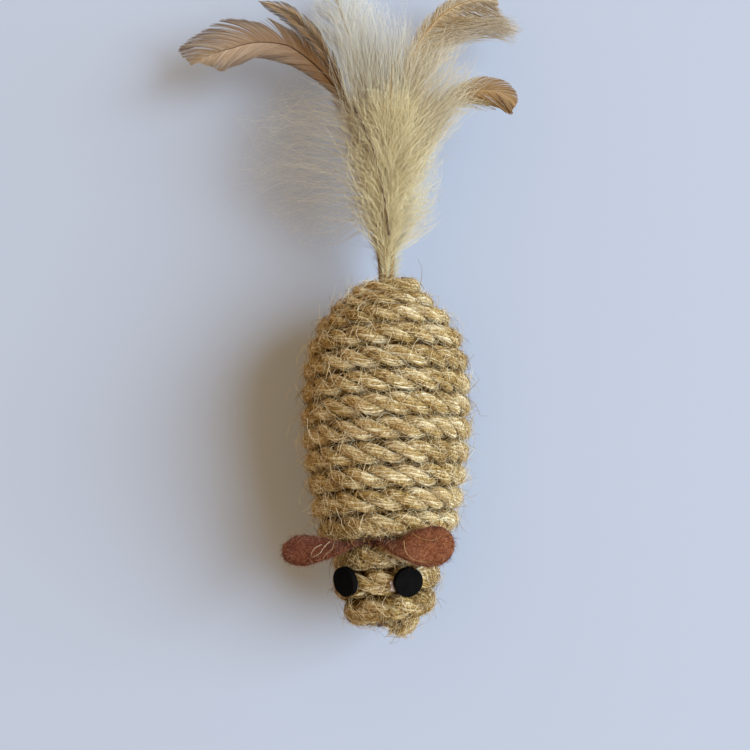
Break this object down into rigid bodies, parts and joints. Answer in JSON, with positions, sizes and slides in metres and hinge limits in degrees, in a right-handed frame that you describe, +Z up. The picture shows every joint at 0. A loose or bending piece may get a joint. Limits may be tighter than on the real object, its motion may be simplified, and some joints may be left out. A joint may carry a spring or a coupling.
{
  "type": "rope-wound toy mouse",
  "caption": "Cat toy mouse: a foam body wound with twisted plant-fibre rope, felt ears in the neck groove, flat black eyes and a tail of loose feathers.",
  "frame": {"origin": "on the flat under the belly, at the turn of rope nearest to the balance point", "axes": "+Z up, the nose points to -Y and the feather tail to +Y, +X to the right seen from above with the nose towards the viewer"},
  "size_m": [0.0945, 0.1787, 0.0414],
  "materials": {
    "rope": "rough twisted plant fibre",
    "foam": "moulded foam, out of sight",
    "felt": "matt wool felt",
    "eye": "matt black",
    "glue": "dried translucent glue",
    "thread": "waxed thread, out of sight",
    "feather_tan": "tan feather",
    "feather_cream": "cream feather",
    "feather_golden": "golden brown feather tip",
    "down": "soft down"
  },
  "bodies": {
    "mouse": {"foam_core": "foam", "rope_winding": "rope", "ear_strip_waist": "felt", "ear_strip_glue": "glue", "left_eye": "eye", "right_eye": "eye", "left_eye_glue": "glue", "right_eye_glue": "glue", "nose_glue": "glue", "tail_glue_plug": "glue"},
    "left_ear": {"left_ear": "felt"},
    "right_ear": {"right_ear": "felt"},
    "quill_binding": {"quill_binding": "thread"},
    "feather_tail": {"feather_sickle": "feather_tan", "feather_striped": "feather_tan", "feather_cream": "feather_cream", "feather_tan": "feather_tan", "feather_golden_tip": "feather_golden", "down_plume": "down"}
  },
  "joints": [
    {"name": "left_ear_flex", "type": "hinge", "parent": "mouse", "child": "left_ear", "pos_m": [-0.00581, -0.03023, 0.03479], "axis": [0, 0.4942, -0.8693], "range_deg": [-20, 20], "stiffness_Nm_per_rad": 0.0005},
    {"name": "right_ear_flex", "type": "hinge", "parent": "mouse", "child": "right_ear", "pos_m": [0.00321, -0.03023, 0.03479], "axis": [0, -0.4942, 0.8693], "range_deg": [-20, 20], "stiffness_Nm_per_rad": 0.0005},
    {"name": "tail_sway", "type": "hinge", "parent": "mouse", "child": "quill_binding", "pos_m": [0, 0.03451, 0.02043], "axis": [0, 0, 1], "range_deg": [-20, 20], "stiffness_Nm_per_rad": 0.03},
    {"name": "tail_lift", "type": "hinge", "parent": "quill_binding", "child": "feather_tail", "pos_m": [0, 0.03451, 0.02043], "axis": [1, 0, 0], "range_deg": [-5, 20], "stiffness_Nm_per_rad": 0.03}
  ]
}
